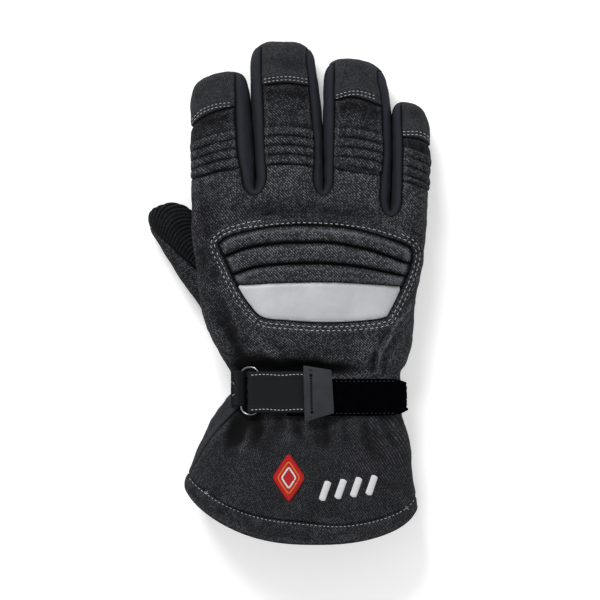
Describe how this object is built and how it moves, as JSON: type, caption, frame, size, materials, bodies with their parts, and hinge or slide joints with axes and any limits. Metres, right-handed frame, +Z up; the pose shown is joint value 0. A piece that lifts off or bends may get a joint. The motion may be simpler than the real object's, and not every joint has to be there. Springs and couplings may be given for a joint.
{
  "type": "rescue glove",
  "caption": "Right-hand padded rescue glove lying palm down, with flaring gauntlet cuff, ribbed knuckle guard, reflective strip and a wrist strap drawn through a wire ring.",
  "frame": {"origin": "middle of the glove's footprint, on the surface that it lies on palm down", "axes": "+Y from the cuff towards the fingertips, +X towards the little finger, +Z up, out of the back of the hand"},
  "size_m": [0.1587, 0.2823, 0.0485],
  "materials": {
    "shell": "coarse black twill with grey flecks",
    "palm": "plain black reinforced fabric",
    "stretch": "smooth black stretch fabric",
    "grip": "matt ribbed black grip",
    "reflective": "silver-grey retroreflective film",
    "webbing": "smooth black webbing",
    "pile": "fuzzy black loop pile",
    "tab_rubber": "dark grey moulded rubber",
    "steel": "bright wire",
    "red_thread": "red embroidery",
    "white_thread": "white embroidery"
  },
  "bodies": {
    "root": {"hand_back": "shell", "palm": "palm", "index_back": "shell", "middle_back": "shell", "ring_back": "shell", "pinky_back": "shell", "index_cap": "shell", "middle_cap": "shell", "ring_cap": "shell", "pinky_cap": "shell", "side_strip_index_middle": "stretch", "side_strip_middle_ring": "stretch", "side_strip_ring_pinky": "stretch", "thumb_back": "shell", "thumb_grip": "grip", "cuff_back": "shell", "cuff_under": "palm", "hem_band": "shell", "knuckle_pad": "shell", "reflective_strip": "reflective", "loop_tape": "pile", "strap_end": "webbing", "wire_ring": "steel", "ring_loop": "webbing", "pull_tab": "tab_rubber", "cuff_patch": "red_thread", "cuff_bar_1": "white_thread", "cuff_bar_2": "white_thread", "cuff_bar_3": "white_thread", "cuff_bar_4": "white_thread"}
  },
  "joints": []
}
